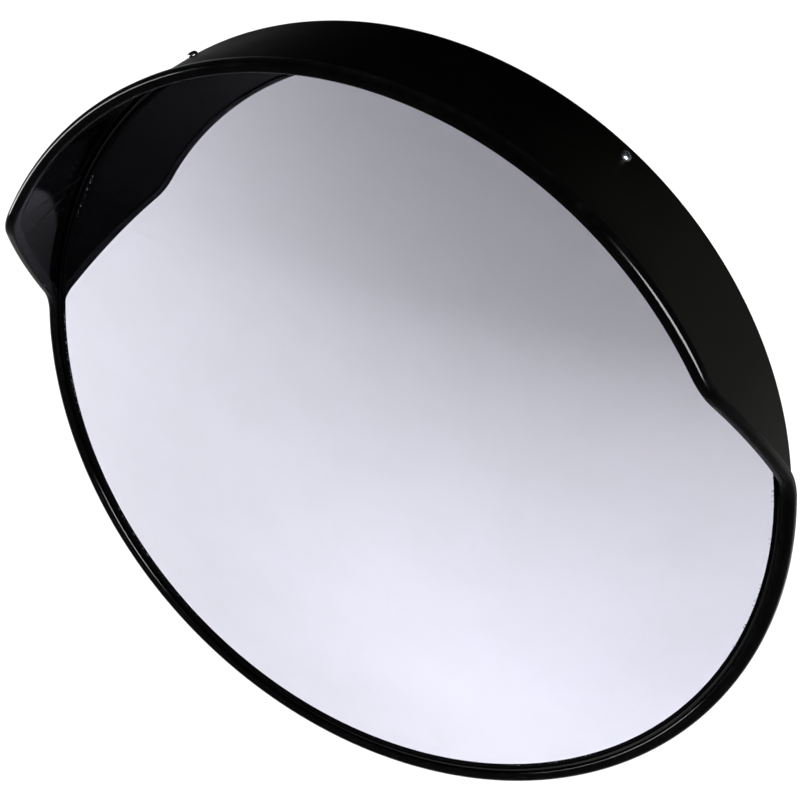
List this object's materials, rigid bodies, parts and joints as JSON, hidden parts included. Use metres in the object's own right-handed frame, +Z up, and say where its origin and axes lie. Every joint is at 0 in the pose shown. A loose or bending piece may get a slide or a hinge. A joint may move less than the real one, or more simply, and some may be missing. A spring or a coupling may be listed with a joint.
{
  "type": "convex security mirror",
  "caption": "Round convex security mirror with a black hood over its top half, on a wall bracket that swings and tilts.",
  "frame": {"origin": "centre of the wall plate's rear face, on the wall", "axes": "+Z up, +Y into the wall, mirror faces -Y, +X to the right of someone who looks at the mirror"},
  "size_m": [0.5996, 0.3307, 0.5996],
  "materials": {
    "mirror_film": "polished silvered plastic",
    "gasket_rubber": "matt",
    "hood_plastic": "satin outside, glossy inside",
    "trim_gloss": "glossy",
    "shell_plastic": "satin, fine grain",
    "zinc": "bright zinc plated",
    "zinc_sheet": "zinc plated sheet",
    "bracket_paint": "black powder coat",
    "fibre": "vulcanised fibre"
  },
  "bodies": {
    "base": {"wall_bracket": "bracket_paint", "pan_bolt": "zinc", "pan_washers": "zinc", "pan_nut": "zinc", "pan_friction_discs": "fibre"},
    "arm": {"swivel_arm": "bracket_paint"},
    "head": {"mirror_lens": "mirror_film", "lens_gasket": "gasket_rubber", "hood_frame": "hood_plastic", "edge_trim": "trim_gloss", "rear_shell": "shell_plastic", "frame_screws": "zinc", "backing_plate": "zinc_sheet", "bracket_bolts": "zinc", "bracket_washers": "zinc", "bracket_nuts": "zinc", "head_bracket": "bracket_paint", "tilt_bolt": "zinc", "tilt_washers": "zinc", "tilt_nut": "zinc", "tilt_friction_discs": "fibre"}
  },
  "joints": [
    {"name": "pan", "type": "hinge", "parent": "base", "child": "arm", "pos_m": [0, -0.046, 0], "axis": [0, 0, 1], "range_deg": [-30, 30]},
    {"name": "tilt", "type": "hinge", "parent": "arm", "child": "head", "pos_m": [0, -0.138, 0], "axis": [1, 0, 0], "range_deg": [-15, 25]}
  ]
}
